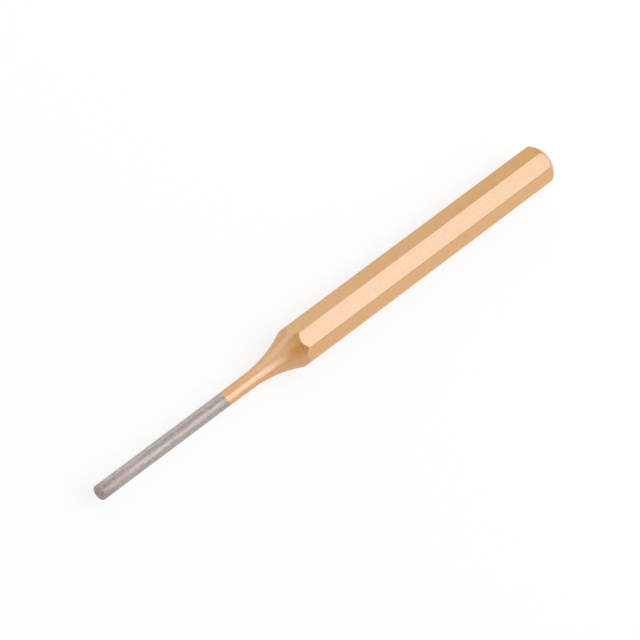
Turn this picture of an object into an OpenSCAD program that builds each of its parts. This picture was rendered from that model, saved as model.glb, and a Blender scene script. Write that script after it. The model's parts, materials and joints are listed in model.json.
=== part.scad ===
// Parallel pin punch: a length of octagonal tool steel, turned down at one end into a straight
// pin. A gold lacquer coat covers the head, the bar, the flare and the root of the pin, and
// leaves the working length of the pin bare.
// The punch lies along X on one of its flats, with the tip towards -X and the struck face
// towards +X. The origin is on the surface that it lies on, below the middle of its length.

/* [Bar] */
// Length from the tip of the pin to the lacquered struck face
overall_length = 150; // [120:1:200]
// Width of the octagonal steel bar across its flats
bar_flats = 10; // [8:0.5:14]
// Rounding along the eight ridges of the steel bar
ridge_radius = 0.4; // [0.1:0.05:1]
// Length along the flats of the 45 degree chamfer that is turned round the struck face
head_chamfer = 1.25; // [0.5:0.05:2.5]

/* [Pin] */
// Diameter of the straight pin
pin_diameter = 3.8; // [2:0.1:6]
// Length of the straight pin, from its tip to the start of the flare
pin_length = 48; // [25:1:60]
// Chamfer that breaks the edge of the tip
tip_chamfer = 0.15; // [0.05:0.05:0.5]
// Radius of the hollow flare that is turned from the pin out into the bar
flare_radius = 38; // [15:1:60]

/* [Lacquer] */
// Thickness of the lacquer coat
coat_thickness = 0.06; // [0.04:0.01:0.2]
// Thickness to which the lacquer thins out along the pin, towards its edge
coat_edge = 0.03; // [0.02:0.01:0.04]
// Length of straight pin that the lacquer covers, measured on the centre line
coated_pin = 7.5; // [3:0.5:15]
// Slant in degrees of the lacquer's edge, which comes nearest to the tip on the upper side
coat_edge_slant = 22; // [0:1:40]

/* [Hidden] */
$fn = 96;

facets = 8;
facet_turn = 360 / facets;
// A face at 45 degrees that is grown outwards moves its corner along the next face by this share
chamfer_growth = tan(45 / 2);

pin_radius = pin_diameter / 2;
// The coat on the struck face is part of the overall length
steel_length = overall_length - coat_thickness;
face_radius = bar_flats / 2 - head_chamfer;
bare_pin = pin_length - coated_pin;
// The film's outline starts here, a little nearer to the tip than its slanted edge comes
film_start = bare_pin - pin_diameter * tan(coat_edge_slant);
axis_height = bar_flats / 2 + coat_thickness;
// The turned outline is wider than the ridges of the bar, so that only its flare and chamfer cut
turned_radius = bar_flats / 2 / cos(facet_turn / 2) + coat_thickness + ridge_radius;

// Points of the turned outlines at the tip's end, radius first, then distance from the tip
steel_start = [[0, 0], [pin_radius - tip_chamfer, 0], [pin_radius, tip_chamfer]];
coat_start = [[0, film_start], [pin_radius + coat_edge, film_start]];

// Half outline of the turned forms, radius along X and distance from the tip along Y: from the
// start's points it runs up the pin, the hollow flare and the bar to the chamfered head, with
// every face from the flare on moved outwards by grow
module turned_outline(start, grow) {
    grown_face = face_radius + grow * chamfer_growth;
    head_end = steel_length + grow;
    difference() {
        polygon(concat(start, [
            [pin_radius + grow, pin_length],
            [turned_radius, pin_length],
            [turned_radius, head_end - (turned_radius - grown_face)],
            [grown_face, head_end],
            [0, head_end]
        ]));
        translate([pin_radius + flare_radius, pin_length])
            circle(r = flare_radius - grow);
    }
}

// Section of the drawn bar: an octagon with rounded ridges and one flat square to X
module bar_section(grow) {
    ridge_centre = (bar_flats / 2 - ridge_radius) / cos(facet_turn / 2);
    hull()
        for (facet = [0 : facets - 1])
            rotate((facet + 0.5) * facet_turn)
                translate([ridge_centre, 0])
                    rotate(-0.5 * facet_turn)
                        circle(r = ridge_radius + grow, $fn = 4 * facets);
}

// The punch standing on its tip along Z, grown as its outline and section are: the bar's flats run
// out in arched tongues where the turned flare and the turned chamfer cut them
module blank(start, grow) {
    overshoot = bar_flats;
    intersection() {
        rotate_extrude()
            turned_outline(start, grow);
        translate([0, 0, -overshoot])
            linear_extrude(overall_length + 2 * overshoot)
                bar_section(grow);
    }
}

// The bare steel, standing on its tip along Z
module steel_blank() {
    blank(steel_start, 0);
}

// Everything on the head's side of the lacquer's slanted edge, with the punch on its tip along Z
module coated_side() {
    reach = overall_length;
    translate([0, 0, bare_pin])
        rotate([0, -coat_edge_slant, 0])
            translate([-reach, -reach, 0])
                cube([2 * reach, 2 * reach, 2 * reach]);
}

// Lays down what stands on its tip along Z, so that it lies along X on one flat
module laid_down() {
    translate([-overall_length / 2, 0, axis_height])
        rotate([0, 90, 0])
            children();
}

// One piece of steel from the tip to the head
module steel_punch() {
    color([0.70, 0.66, 0.64])
        laid_down()
            steel_blank();
}

// Gold film over all but the working length of the pin
module lacquer_coat() {
    color([0.86, 0.67, 0.45])
        laid_down()
            difference() {
                intersection() {
                    blank(coat_start, coat_thickness);
                    coated_side();
                }
                steel_blank();
            }
}

steel_punch();
lacquer_coat();
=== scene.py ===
# Looks of a lacquered pin punch. The punch lies along X, tip towards -X, on one flat at z = 0.
import json
import math

import bpy
from mathutils import Matrix, Quaternion, Vector


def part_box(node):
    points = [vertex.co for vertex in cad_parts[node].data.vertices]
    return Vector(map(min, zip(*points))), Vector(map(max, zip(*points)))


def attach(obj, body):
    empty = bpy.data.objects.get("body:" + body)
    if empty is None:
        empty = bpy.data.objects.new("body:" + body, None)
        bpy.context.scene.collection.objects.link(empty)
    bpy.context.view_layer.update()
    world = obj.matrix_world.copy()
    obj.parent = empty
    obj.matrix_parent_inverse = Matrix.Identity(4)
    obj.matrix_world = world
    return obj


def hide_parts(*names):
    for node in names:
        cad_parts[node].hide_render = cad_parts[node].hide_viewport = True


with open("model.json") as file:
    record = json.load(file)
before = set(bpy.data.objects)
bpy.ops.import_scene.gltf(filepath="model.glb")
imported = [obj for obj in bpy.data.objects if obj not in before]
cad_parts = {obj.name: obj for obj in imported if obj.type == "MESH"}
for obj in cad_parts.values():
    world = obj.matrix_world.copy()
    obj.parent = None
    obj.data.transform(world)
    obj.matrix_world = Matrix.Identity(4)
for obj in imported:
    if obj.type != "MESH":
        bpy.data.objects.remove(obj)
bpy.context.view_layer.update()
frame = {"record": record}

MM = 0.001

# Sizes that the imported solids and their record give
STEEL_LOW, STEEL_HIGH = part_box("steel_punch")
COAT_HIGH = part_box("lacquer_coat")[1]
DRIVE_PIN = next(mount for mount in frame["record"]["mounts"] if mount["name"] == "drive_pin")
TIP_X = STEEL_LOW.x
STEEL_LENGTH = STEEL_HIGH.x - STEEL_LOW.x
COAT = COAT_HIGH.x - STEEL_HIGH.x
BAR_HALF = (STEEL_HIGH.y - STEEL_LOW.y) / 2
AXIS_Z = (STEEL_HIGH.z + STEEL_LOW.z) / 2
PIN_RADIUS = DRIVE_PIN["dims"]["r_mm"] * MM

# Sizes of the turned and drawn forms
FACETS = 8
FACET_TURN = 2 * math.pi / FACETS
RIDGE_RADIUS = 0.4 * MM
HEAD_CHAMFER = 1.25 * MM
CHAMFER_TURN = math.radians(45)
FACE_RADIUS = BAR_HALF - HEAD_CHAMFER
FLARE_RADIUS = 38 * MM
TIP_CHAMFER = 0.15 * MM
PIN_LENGTH = DRIVE_PIN["dims"]["length_mm"] * MM + TIP_CHAMFER
COATED_PIN = 7.5 * MM
BARE_PIN = PIN_LENGTH - COATED_PIN
COAT_EDGE = 0.03 * MM
COAT_EDGE_SLANT = math.radians(22)

# Waves of the lacquer's edge round the pin: height, number of waves and phase
COAT_EDGE_WAVES = ((0.05 * MM, 3, 0.6), (0.03 * MM, 7, 2.0))

# Half widths of the small roundings that turn each crease into a soft edge
FLARE_CREASE = 0.3 * MM
SHOULDER_CREASE = 0.25 * MM
FACE_CREASE = 0.4 * MM
LIP_LENGTH = 0.08 * MM

# How much wider the shoulder's rounding gets for each length by which a ridge stands out past the flats
SHOULDER_WEAR = 1.5

# What the meshes mark at their points: how worn an edge is, and whether the surface is drawn or turned
UNWORN = 0.0
FLARE_EDGE_WORN = 0.4
SHOULDER_EDGE_WORN = 0.6
WORN = 1.0
DRAWN = 0.0
HALF_TURNED = 0.5
TURNED = 1.0

# Steps of the meshes
FLAT_STEPS = 16
RIDGE_STEPS = 6
PIN_ROWS = 24
FLARE_ROWS = 40
CREASE_ROWS = 6
BAR_ROWS = 30
CHAMFER_ROWS = 5
FACE_ROWS = 10


# Meshes


def section_columns(grow):
    """Angle from +Y, radius and wear of each column of points round the grown octagon.

    On the flats the columns come closer together towards the ridges."""
    columns = []
    ridge = RIDGE_RADIUS + grow
    inner = BAR_HALF - RIDGE_RADIUS
    half_flat = inner * math.tan(FACET_TURN / 2)
    for facet in range(FACETS):
        points = []
        for step in range(FLAT_STEPS + 1):
            across = math.sin(math.pi * (step / FLAT_STEPS - 0.5))
            points.append((inner + ridge, half_flat * across, UNWORN))
        for step in range(1, RIDGE_STEPS):
            turn = FACET_TURN * step / RIDGE_STEPS
            worn = WORN * math.sin(math.pi * step / RIDGE_STEPS)
            points.append((inner + ridge * math.cos(turn), half_flat + ridge * math.sin(turn), worn))
        for out, side, worn in points:
            angle = facet * FACET_TURN + math.atan2(side, out)
            columns.append((angle, math.hypot(out, side), worn))
    return columns


# A row of a profile is its distance from the tip, its radius, its wear and its turned share


def straight(start, end, steps):
    """Rows from start to end, without start itself."""
    return [
        tuple(a + (b - a) * step / steps for a, b in zip(start, end))
        for step in range(1, steps + 1)
    ]


def rounded_corner(start, corner, end, steps):
    """Rows of a soft edge between two faces that would meet in a corner, without start itself."""
    rows = []
    for step in range(1, steps + 1):
        share = step / steps
        rest = 1 - share
        rows.append(tuple(
            rest ** 2 * a + 2 * share * rest * b + share ** 2 * c
            for a, b, c in zip(start, corner, end)
        ))
    return rows


def flare_rows(radius, worn, grow):
    """Rows of one column from the end of the pin, without the end itself, up the flare onto the bar."""
    hollow = FLARE_RADIUS - grow
    hollow_centre = PIN_RADIUS + FLARE_RADIUS
    full_turn = math.acos((hollow_centre - radius) / hollow)
    flare_turn = full_turn - FLARE_CREASE / hollow
    rows = []
    for step in range(1, FLARE_ROWS + 1):
        turn = flare_turn * step / FLARE_ROWS
        distance = PIN_LENGTH + hollow * math.sin(turn)
        rows.append((distance, hollow_centre - hollow * math.cos(turn), UNWORN, TURNED))
    bar_start = PIN_LENGTH + hollow * math.sin(full_turn)
    rows += rounded_corner(
        rows[-1],
        (bar_start, radius, FLARE_EDGE_WORN, HALF_TURNED),
        (bar_start + FLARE_CREASE, radius, worn, DRAWN),
        CREASE_ROWS,
    )
    return rows


def head_rows(start, radius, worn, grow):
    """Rows of one column from start along the bar, over shoulder and chamfer to the face's centre."""
    along = math.cos(CHAMFER_TURN)
    across = math.sin(CHAMFER_TURN)
    face_radius = FACE_RADIUS + grow * math.tan(CHAMFER_TURN / 2)
    face = STEEL_LENGTH + grow
    shoulder = face - (radius - face_radius) * along / across
    crease = SHOULDER_CREASE + SHOULDER_WEAR * (radius - grow - BAR_HALF)
    rows = straight(start, (shoulder - crease, radius, worn, DRAWN), BAR_ROWS)
    rows += rounded_corner(
        rows[-1],
        (shoulder, radius, SHOULDER_EDGE_WORN, HALF_TURNED),
        (shoulder + crease * along, radius - crease * across, UNWORN, TURNED),
        CREASE_ROWS,
    )
    chamfer_end = (face - FACE_CREASE * along, face_radius + FACE_CREASE * across, UNWORN, TURNED)
    rows += straight(rows[-1], chamfer_end, CHAMFER_ROWS)
    rows += rounded_corner(
        rows[-1],
        (face, face_radius, WORN, TURNED),
        (face, face_radius - FACE_CREASE, UNWORN, TURNED),
        CREASE_ROWS,
    )
    rows += straight(rows[-1], (face, 0.0, UNWORN, TURNED), FACE_ROWS)
    return rows


def bar_profile(radius, worn, grow):
    """Rows of one column from the end of the pin, without the end itself, to the centre of the head."""
    rows = flare_rows(radius, worn, grow)
    return rows + head_rows(rows[-1], radius, worn, grow)


def steel_profile(radius, worn):
    """Rows of one column of the steel, from the centre of the tip to the centre of the head."""
    rows = [(0.0, 0.0, UNWORN, TURNED)]
    rows += straight(rows[-1], (0.0, PIN_RADIUS - TIP_CHAMFER, UNWORN, TURNED), FACE_ROWS)
    rows += rounded_corner(
        rows[-1],
        (0.0, PIN_RADIUS, WORN, TURNED),
        (TIP_CHAMFER, PIN_RADIUS, UNWORN, TURNED),
        CREASE_ROWS,
    )
    rows += straight(rows[-1], (PIN_LENGTH, PIN_RADIUS, UNWORN, TURNED), PIN_ROWS)
    return rows + bar_profile(radius, worn, 0.0)


def coat_edge(angle):
    """Distance from the tip of the lacquer's edge, slanted and a little wavy round the pin."""
    slant = PIN_RADIUS * math.tan(COAT_EDGE_SLANT) * math.sin(angle)
    wave = sum(height * math.sin(count * angle + phase) for height, count, phase in COAT_EDGE_WAVES)
    return BARE_PIN - slant + wave


def coat_profile(angle, outer, inner):
    """Rows of one column of the film: down its outside from the head, round its lip and back inside."""
    edge = coat_edge(angle)
    lip = (edge, PIN_RADIUS, WORN, TURNED)
    outside = [lip]
    outside += rounded_corner(
        lip,
        (edge, PIN_RADIUS + COAT_EDGE, WORN, TURNED),
        (edge + LIP_LENGTH, PIN_RADIUS + COAT_EDGE, UNWORN, TURNED),
        CREASE_ROWS,
    )
    outside += straight(outside[-1], (PIN_LENGTH, PIN_RADIUS + COAT, UNWORN, TURNED), PIN_ROWS)
    outside += bar_profile(*outer, COAT)
    inside = straight(lip, (PIN_LENGTH, PIN_RADIUS, UNWORN, TURNED), PIN_ROWS)
    inside += bar_profile(*inner, 0.0)
    return outside[::-1] + inside


def skin(columns, rings):
    """Faces over rings of points, closed at both ends by a fan round a point on the axis."""
    faces = []
    last = 1 + rings * columns
    last_ring = last - columns
    for column in range(columns):
        beside = (column + 1) % columns
        faces.append((0, 1 + beside, 1 + column))
        for here in range(1, last_ring, columns):
            beyond = here + columns
            faces.append((here + column, here + beside, beyond + beside, beyond + column))
        faces.append((last_ring + column, last_ring + beside, last))
    return faces


def turned_mesh(name, angles, profiles):
    """A closed mesh from one profile a column, whose first and last rows are points on the axis."""
    points = []
    marks = {"edge": [], "turned": []}

    def add(row, angle):
        distance, radius, worn, turned = row
        points.append((
            TIP_X + distance,
            radius * math.cos(angle),
            AXIS_Z + radius * math.sin(angle),
        ))
        marks["edge"].append(worn)
        marks["turned"].append(turned)

    rings = list(zip(*profiles))
    add(rings[0][0], 0.0)
    for ring in rings[1:-1]:
        for row, angle in zip(ring, angles):
            add(row, angle)
    add(rings[-1][0], 0.0)

    mesh = bpy.data.meshes.new(name)
    mesh.from_pydata(points, [], skin(len(angles), len(rings) - 2))
    mesh.validate()
    for mark_name, values in marks.items():
        layer = mesh.attributes.new(mark_name, "FLOAT", "POINT")
        layer.data.foreach_set("value", values)
    mesh.polygons.foreach_set("use_smooth", [True] * len(mesh.polygons))
    mesh.update()
    piece = bpy.data.objects.new(name, mesh)
    bpy.context.scene.collection.objects.link(piece)
    return piece


def make_steel():
    columns = section_columns(0.0)
    profiles = [steel_profile(radius, worn) for _, radius, worn in columns]
    return turned_mesh("punch_steel", [angle for angle, _, _ in columns], profiles)


def make_coat():
    inner = section_columns(0.0)
    outer = section_columns(COAT)
    angles = [angle for angle, _, _ in outer]
    profiles = [
        coat_profile(angle, out[1:], inside[1:])
        for angle, out, inside in zip(angles, outer, inner)
    ]
    return turned_mesh("punch_lacquer", angles, profiles)


# Helpers for node trees

# Sockets of a mix node that hold colours
MIX_FIRST = 6
MIX_SECOND = 7
MIX_RESULT = 2

# Middle of the values that the noise gives, and of the shades made from them
MIDDLE = 0.5


def new_material(name):
    material = bpy.data.materials.new(name)
    material.use_nodes = True
    material.node_tree.nodes.clear()
    return material, material.node_tree


def put(tree, kind, **settings):
    node = tree.nodes.new(kind)
    for name, value in settings.items():
        setattr(node, name, value)
    return node


def wire(tree, source, target):
    tree.links.new(source, target)


def fill(tree, socket, value):
    """Gives a socket its value: a number, a colour or what comes out of another node."""
    if isinstance(value, bpy.types.NodeSocket):
        wire(tree, value, socket)
    else:
        socket.default_value = value


def calc(tree, operation, first, second=0.0):
    node = put(tree, "ShaderNodeMath", operation=operation)
    fill(tree, node.inputs[0], first)
    fill(tree, node.inputs[1], second)
    return node.outputs[0]


def spread(tree, value, low, high, to_low=0.0, to_high=1.0):
    """Stretches the range from low to high over the range from to_low to to_high."""
    node = put(tree, "ShaderNodeMapRange")
    for name, number in zip(("Value", "From Min", "From Max", "To Min", "To Max"),
                            (value, low, high, to_low, to_high)):
        fill(tree, node.inputs[name], number)
    return node.outputs["Result"]


def between(tree, share, first, second):
    """The value that lies that share of the way from first to second."""
    node = put(tree, "ShaderNodeMix", data_type="FLOAT")
    for name, value in zip(("Factor", "A", "B"), (share, first, second)):
        fill(tree, node.inputs[name], value)
    return node.outputs[0]


def tint(tree, share, first, second):
    """The colour that lies that share of the way from first to second."""
    node = put(tree, "ShaderNodeMix", data_type="RGBA")
    fill(tree, node.inputs["Factor"], share)
    fill(tree, node.inputs[MIX_FIRST], first)
    fill(tree, node.inputs[MIX_SECOND], second)
    return node.outputs[MIX_RESULT]


def weighed(tree, *parts):
    """A value about the middle, to which each part adds its own swing times its weight."""
    total = MIDDLE
    for value, weight in parts:
        swing = calc(tree, "SUBTRACT", value, MIDDLE)
        total = calc(tree, "ADD", total, calc(tree, "MULTIPLY", swing, weight))
    return total


def noise(tree, place, detail, roughness=0.5):
    """A cloudy value about the middle, with grains as wide as one unit of place."""
    node = put(tree, "ShaderNodeTexNoise")
    fill(tree, node.inputs["Vector"], place)
    fill(tree, node.inputs["Scale"], 1.0)
    fill(tree, node.inputs["Detail"], detail)
    fill(tree, node.inputs["Roughness"], roughness)
    return node.outputs[0]


def mark(tree, name):
    """One of the values that the mesh carries at its points."""
    return put(tree, "ShaderNodeAttribute", attribute_name=name).outputs["Fac"]


def place_in_mm(tree):
    """Place on the punch in millimetres along X, Y and Z, measured from the middle of its axis."""
    place = put(tree, "ShaderNodeTexCoord")
    from_middle = put(tree, "ShaderNodeMapping")
    from_middle.inputs["Location"].default_value = (0, 0, -AXIS_Z / MM)
    from_middle.inputs["Scale"].default_value = (1 / MM, 1 / MM, 1 / MM)
    wire(tree, place.outputs["Object"], from_middle.inputs["Vector"])
    parts = put(tree, "ShaderNodeSeparateXYZ")
    wire(tree, from_middle.outputs["Vector"], parts.inputs["Vector"])
    return parts.outputs["X"], parts.outputs["Y"], parts.outputs["Z"]


def from_axis(tree, y, z):
    """Distance from the punch's axis."""
    squares = calc(tree, "ADD", calc(tree, "POWER", y, 2), calc(tree, "POWER", z, 2))
    return calc(tree, "SQRT", squares)


def in_units(tree, place, units):
    """A place whose three parts are each divided by their own unit."""
    node = put(tree, "ShaderNodeCombineXYZ")
    for name, part, unit in zip("XYZ", place, units):
        wire(tree, calc(tree, "DIVIDE", part, unit), node.inputs[name])
    return node.outputs["Vector"]


# Effects that both finishes use, with sizes in millimetres

# Range of the noise over which a rubbed stretch fades in
RUB_FADE = (0.35, 0.65)


def effect(name, sizes, results):
    """An empty node group with its named inputs and outputs."""
    group = bpy.data.node_groups.new(name, "ShaderNodeTree")
    for size in sizes:
        group.interface.new_socket(size, in_out="INPUT", socket_type="NodeSocketFloat")
    for result in results:
        group.interface.new_socket(result, in_out="OUTPUT", socket_type="NodeSocketFloat")
    return group, put(group, "NodeGroupInput").outputs, put(group, "NodeGroupOutput").inputs


def use(tree, group, **sizes):
    """Places an effect in a material with the material's own sizes."""
    node = put(tree, "ShaderNodeGroup", node_tree=group)
    for name, value in sizes.items():
        node.inputs[name.replace("_", " ")].default_value = value
    return node.outputs


def tool_marks():
    """Broken lines along the bar, as drawing leaves, and broken rings round it, as turning leaves."""
    group, sizes, results = effect(
        "tool_marks", ("line width", "line length", "ring pitch", "ring arc"), ("lines", "rings")
    )
    x, y, z = place_in_mm(group)
    width = sizes["line width"]
    lines = in_units(group, (x, y, z), (sizes["line length"], width, width))
    wire(group, noise(group, lines, detail=3, roughness=0.6), results["lines"])
    run = calc(group, "SUBTRACT", x, from_axis(group, y, z))
    arc = sizes["ring arc"]
    rings = in_units(group, (run, y, z), (sizes["ring pitch"], arc, arc))
    wire(group, noise(group, rings, detail=2, roughness=0.6), results["rings"])
    return group


def cloudy_tone():
    """Soft uneven patches."""
    group, sizes, results = effect("cloudy_tone", ("patch size",), ("tone",))
    patches = in_units(group, place_in_mm(group), [sizes["patch size"]] * 3)
    wire(group, noise(group, patches, detail=2), results["tone"])
    return group


def rubbed_edges():
    """Rubbed stretches along the ridges, corners and rims."""
    group, sizes, results = effect("rubbed_edges", ("stretch length",), ("rub",))
    stretches = in_units(group, place_in_mm(group), [sizes["stretch length"]] * 3)
    broken = spread(group, noise(group, stretches, detail=3), *RUB_FADE)
    wire(group, calc(group, "MULTIPLY", mark(group, "edge"), broken), results["rub"])
    return group


# Materials

# Range of the cloudy tone over which one colour goes over into the other
PATCH_FADE = (0.3, 0.7)

# The lacquer, with each colour from its darkest to its lightest shade
GOLD = ((0.472, 0.221, 0.024, 1), (0.625, 0.293, 0.032, 1))
RUDDY_GOLD = ((0.515, 0.207, 0.011, 1), (0.683, 0.275, 0.014, 1))
RUBBED_GOLD = (0.74, 0.43, 0.15, 1)
RUBBED_GOLD_SHARE = 0.3
PATCH_REDNESS = (0.2, 0.6)
TURNED_REDNESS = 0.85
LACQUER_IOR = 2.325
LACQUER_ROUGHNESS = (0.285, 0.345)
LACQUER_RELIEF = 0.003 * MM

# The steel, with each colour from its darkest to its lightest shade
GREY_STEEL = ((0.35, 0.323, 0.305, 1), (0.718, 0.647, 0.611, 1))
PINK_STEEL = ((0.365, 0.308, 0.292, 1), (0.744, 0.64, 0.605, 1))
# Brown for the tip: painted shade behind it, and on the end face partly the face's own tone and partly a
# painted darker reflection
BROWN_STEEL_AND_SHADE = ((0.265, 0.205, 0.188, 1), (0.565, 0.45, 0.411, 1))
RUBBED_STEEL = (0.80, 0.73, 0.69, 1)
RUBBED_STEEL_SHARE = 0.5
STEEL_STRETCH = 0.785
QUARTER_TURN = 0.25
STEEL_ROUGHNESS = (0.51, 0.62)
STEEL_RELIEF = 0.006 * MM

# Painted shade behind the tip, in millimetres: a brown stretch that stands in for the reflection fading
# towards the tip, where it fades out, and by how much that wanders
TIP_SHADE_FADE = (2.5, 5.5)
TIP_SHADE_SWING = 3
TIP_SHADE_SHARE = 0.5

# The end face in millimetres: how far behind the tip and how near the rim its brown fades out. That brown
# is partly the face's own tone and partly a painted darker reflection
END_DEPTH_FADE = (0.02, 0.1)
END_RIM_FADE = (1.2, 1.65)


def finish_nodes(tree):
    """The shader of a finish, wired to the output, and a bump node, wired to the shader."""
    out = put(tree, "ShaderNodeOutputMaterial")
    shader = put(tree, "ShaderNodeBsdfPrincipled")
    bump = put(tree, "ShaderNodeBump")
    wire(tree, shader.outputs["BSDF"], out.inputs["Surface"])
    wire(tree, bump.outputs["Normal"], shader.inputs["Normal"])
    return shader.inputs, bump.inputs


def gold_lacquer(marks, clouds, rubs):
    """Gold lacquer with fine flakes, ruddy where the steel under it is turned, and rubbed at its edges."""
    material, tree = new_material("gold_lacquer")
    film, bump = finish_nodes(tree)
    film["IOR"].default_value = LACQUER_IOR
    bump["Distance"].default_value = LACQUER_RELIEF
    tools = use(tree, marks, line_width=0.5, line_length=14, ring_pitch=0.6, ring_arc=10)
    turned = mark(tree, "turned")
    grain = between(tree, turned, tools["lines"], tools["rings"])
    patches = use(tree, clouds, patch_size=4.0)["tone"]
    flakes = use(tree, clouds, patch_size=0.7)["tone"]
    rub = use(tree, rubs, stretch_length=1.5)["rub"]

    shade = weighed(tree, (flakes, 1.0), (grain, 0.7))
    redness = spread(tree, patches, *PATCH_FADE, *PATCH_REDNESS)
    redness = calc(tree, "MAXIMUM", redness, calc(tree, "MULTIPLY", turned, TURNED_REDNESS))
    colour = tint(tree, redness, tint(tree, shade, *GOLD), tint(tree, shade, *RUDDY_GOLD))
    colour = tint(tree, calc(tree, "MULTIPLY", rub, RUBBED_GOLD_SHARE), colour, RUBBED_GOLD)
    wire(tree, colour, film["Base Color"])
    dullness = weighed(tree, (patches, 0.6), (flakes, 0.5), (rub, -0.3))
    wire(tree, spread(tree, dullness, 0, 1, *LACQUER_ROUGHNESS), film["Roughness"])
    wire(tree, weighed(tree, (flakes, 0.5), (grain, 0.6)), bump["Height"])
    return material


def tip_shade_masks(tree, patches):
    """Masks of painted shade in brown: behind the tip, where it stands in for the fading reflection, and
    on the end face inside its bright rim, partly the face's own brown and partly a painted darker
    reflection.
    """
    x, y, z = place_in_mm(tree)
    from_tip = calc(tree, "SUBTRACT", x, TIP_X / MM)
    uneven = calc(tree, "ADD", from_tip, calc(tree, "MULTIPLY", patches, TIP_SHADE_SWING))
    stretch = calc(tree, "MULTIPLY", spread(tree, uneven, *TIP_SHADE_FADE, 1, 0), TIP_SHADE_SHARE)
    inside_rim = spread(tree, from_axis(tree, y, z), *END_RIM_FADE, 1, 0)
    # The end face's brown: partly its own tone, partly a painted darker reflection
    end_face = calc(tree, "MULTIPLY", spread(tree, from_tip, *END_DEPTH_FADE, 1, 0), inside_rim)
    return stretch, end_face


def ground_steel(marks, clouds, rubs):
    """Bare steel with fine lines and rings, a reflection stretched by grinding, and painted shade in brown
    at the tip.
    """
    material, tree = new_material("ground_steel")
    steel, bump = finish_nodes(tree)
    steel["Metallic"].default_value = 1.0
    steel["Anisotropic"].default_value = STEEL_STRETCH
    steel["Anisotropic Rotation"].default_value = QUARTER_TURN
    bump["Distance"].default_value = STEEL_RELIEF
    around = put(tree, "ShaderNodeTangent", direction_type="RADIAL", axis="X")
    wire(tree, around.outputs["Tangent"], steel["Tangent"])
    tools = use(tree, marks, line_width=0.4, line_length=6, ring_pitch=0.4, ring_arc=1.2)
    lines = tools["lines"]
    rings = tools["rings"]
    patches = use(tree, clouds, patch_size=2.0)["tone"]
    pits = use(tree, clouds, patch_size=0.45)["tone"]
    rub = use(tree, rubs, stretch_length=0.6)["rub"]

    shade = weighed(tree, (rings, 0.7), (lines, 1.1), (pits, 0.6))
    pinkness = spread(tree, patches, *PATCH_FADE)
    colour = tint(tree, pinkness, tint(tree, shade, *GREY_STEEL), tint(tree, shade, *PINK_STEEL))
    # Painted shade in brown behind the tip, and on the end face partly the face's own brown
    brown = tint(tree, shade, *BROWN_STEEL_AND_SHADE)
    for mask in tip_shade_masks(tree, patches):
        colour = tint(tree, mask, colour, brown)
    colour = tint(tree, calc(tree, "MULTIPLY", rub, RUBBED_STEEL_SHARE), colour, RUBBED_STEEL)
    wire(tree, colour, steel["Base Color"])
    dullness = weighed(tree, (patches, 0.5), (pits, 0.6), (rub, -0.4))
    wire(tree, spread(tree, dullness, 0, 1, *STEEL_ROUGHNESS), steel["Roughness"])
    wire(tree, weighed(tree, (rings, 0.6), (lines, 0.5), (pits, 0.3)), bump["Height"])
    return material


# Studio, with lengths in metres and levels at which 1 is white

WHITE = (1, 1, 1, 1)
PAPER = (0.9, 0.9, 0.9, 1)
FLOOR_HALF = 10.0
FLOOR_GLOW = 0.8
ROOM_LEVEL = 0.22
ROOM_SLOPE = (0.54, -1.02, -0.93)
ROOM_LOWEST = 0.05
LIGHT_DISTANCE = 1.0


def seen_directly(tree):
    """A mask that is 1 for what the camera, a reflection or clear glass sees, and 0 for lighting."""
    path = put(tree, "ShaderNodeLightPath").outputs
    camera_or_gloss = calc(tree, "MAXIMUM", path["Is Camera Ray"], path["Is Glossy Ray"])
    return calc(tree, "MAXIMUM", camera_or_gloss, path["Is Transmission Ray"])


def make_floor():
    """A table of white paper, seen as plain white mixed with the shaded paper that holds the shadow."""
    half = FLOOR_HALF
    corners = [(-half, -half, 0), (half, -half, 0), (half, half, 0), (-half, half, 0)]
    mesh = bpy.data.meshes.new("floor")
    mesh.from_pydata(corners, [], [(0, 1, 2, 3)])
    floor = bpy.data.objects.new("floor", mesh)
    bpy.context.scene.collection.objects.link(floor)
    material, tree = new_material("white_table")
    out = put(tree, "ShaderNodeOutputMaterial")
    paper = put(tree, "ShaderNodeBsdfDiffuse")
    paper.inputs["Color"].default_value = PAPER
    glow = put(tree, "ShaderNodeEmission")
    glow.inputs["Color"].default_value = WHITE
    both = put(tree, "ShaderNodeMixShader")
    wire(tree, calc(tree, "MULTIPLY", seen_directly(tree), FLOOR_GLOW), both.inputs["Fac"])
    wire(tree, paper.outputs["BSDF"], both.inputs[1])
    wire(tree, glow.outputs["Emission"], both.inputs[2])
    wire(tree, both.outputs["Shader"], out.inputs["Surface"])
    floor.data.materials.append(material)


def make_world():
    """A white room, brightest low down beyond the head and towards -Y, and darkest opposite."""
    world = bpy.data.worlds.new("white_room")
    world.use_nodes = True
    tree = world.node_tree
    tree.nodes.clear()
    out = put(tree, "ShaderNodeOutputWorld")
    room = put(tree, "ShaderNodeBackground")
    room.inputs["Color"].default_value = WHITE
    direction = put(tree, "ShaderNodeTexCoord")
    slope = put(tree, "ShaderNodeVectorMath", operation="DOT_PRODUCT")
    slope.inputs[1].default_value = ROOM_SLOPE
    wire(tree, direction.outputs["Generated"], slope.inputs[0])
    level = calc(tree, "ADD", slope.outputs["Value"], ROOM_LEVEL)
    wire(tree, calc(tree, "MAXIMUM", level, ROOM_LOWEST), room.inputs["Strength"])
    wire(tree, room.outputs["Background"], out.inputs["Surface"])
    bpy.context.scene.world = world


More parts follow.
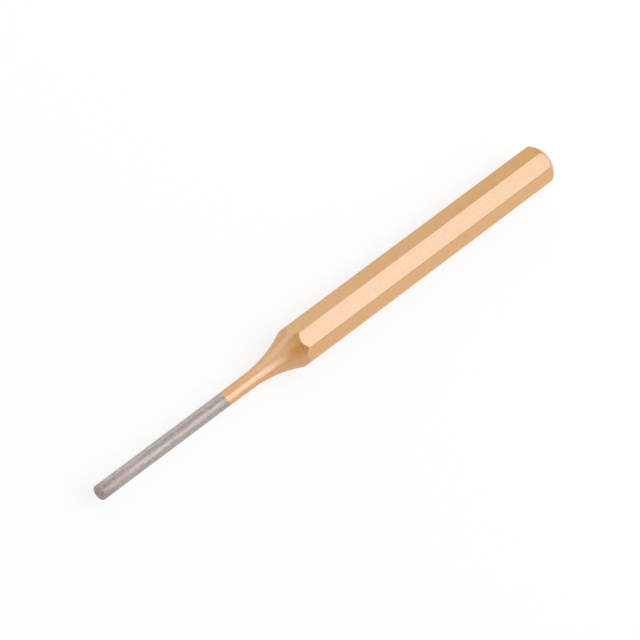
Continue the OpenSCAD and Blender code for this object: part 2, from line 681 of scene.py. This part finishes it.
def soft_light(name, azimuth, elevation, radiance, wide, high=None, roll=0):
    """An oval soft light aimed at the punch, whose face has that radiance. Without high it is round.

    Its place, its half width and half height as the punch sees them, and its roll are in degrees."""
    half_width = LIGHT_DISTANCE * math.tan(math.radians(wide))
    half_height = LIGHT_DISTANCE * math.tan(math.radians(high or wide))
    lamp = bpy.data.lights.new(name, "AREA")
    lamp.shape = "ELLIPSE"
    lamp.size = 2 * half_width
    lamp.size_y = 2 * half_height
    area = math.pi * half_width * half_height
    lamp.energy = radiance * math.pi * area
    heading = math.radians(azimuth)
    rise = math.radians(elevation)
    towards = Vector((
        math.cos(rise) * math.cos(heading),
        math.cos(rise) * math.sin(heading),
        math.sin(rise),
    ))
    holder = bpy.data.objects.new(name, lamp)
    holder.location = towards * LIGHT_DISTANCE
    turn = towards.to_track_quat("Z", "Y") @ Quaternion((0, 0, 1), math.radians(roll))
    holder.rotation_euler = turn.to_euler()
    holder.visible_camera = False
    bpy.context.scene.collection.objects.link(holder)


def make_lights():
    soft_light(
        "key_softbox", azimuth=-43.7, elevation=56.1, radiance=2.745, wide=29.4, high=23.5, roll=53.5
    )
    soft_light("side_softbox", azimuth=83.8, elevation=15.3, radiance=1.64, wide=28.5)
    soft_light("top_softbox", azimuth=51.2, elevation=62.9, radiance=1.27, wide=32)
    soft_light("front_softbox", azimuth=169, elevation=4.4, radiance=5.46, wide=12.6)
    soft_light("head_softbox", azimuth=-4.7, elevation=36.6, radiance=1.52, wide=14.9)


# Camera

# How far the view leans from straight above towards the tip, and how the punch slopes in the picture
VIEW_LEAN = math.radians(31.16)
PICTURE_SLOPE = math.radians(36.77)

# Distance in metres, lens and sensor in millimetres, and the point at the middle of the picture
VIEW_DISTANCE = 1.107
LENS = 268.1
SENSOR_WIDTH = 36
LOOK_AT = Vector((-1.47 * MM, 1.49 * MM, AXIS_Z))


def make_camera():
    lens = bpy.data.cameras.new("camera")
    lens.sensor_width = SENSOR_WIDTH
    lens.lens = LENS
    camera = bpy.data.objects.new("camera", lens)
    bpy.context.scene.collection.objects.link(camera)
    back = Vector((-math.sin(VIEW_LEAN), 0, math.cos(VIEW_LEAN)))
    along = Vector((math.cos(VIEW_LEAN), 0, math.sin(VIEW_LEAN)))
    beside = Vector((0, -1, 0))
    right = along * math.cos(PICTURE_SLOPE) + beside * math.sin(PICTURE_SLOPE)
    up = along * math.sin(PICTURE_SLOPE) - beside * math.cos(PICTURE_SLOPE)
    turn = Matrix((right, up, back)).transposed().to_4x4()
    camera.matrix_world = Matrix.Translation(LOOK_AT + back * VIEW_DISTANCE) @ turn
    bpy.context.scene.camera = camera


make_camera()
marks = tool_marks()
clouds = cloudy_tone()
rubs = rubbed_edges()

steel = make_steel()
steel.data.materials.append(ground_steel(marks, clouds, rubs))
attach(steel, "root")
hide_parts("steel_punch")

coat = make_coat()
coat.data.materials.append(gold_lacquer(marks, clouds, rubs))
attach(coat, "root")
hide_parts("lacquer_coat")

make_floor()
make_world()
make_lights()
bpy.context.scene.view_settings.view_transform = "Standard"
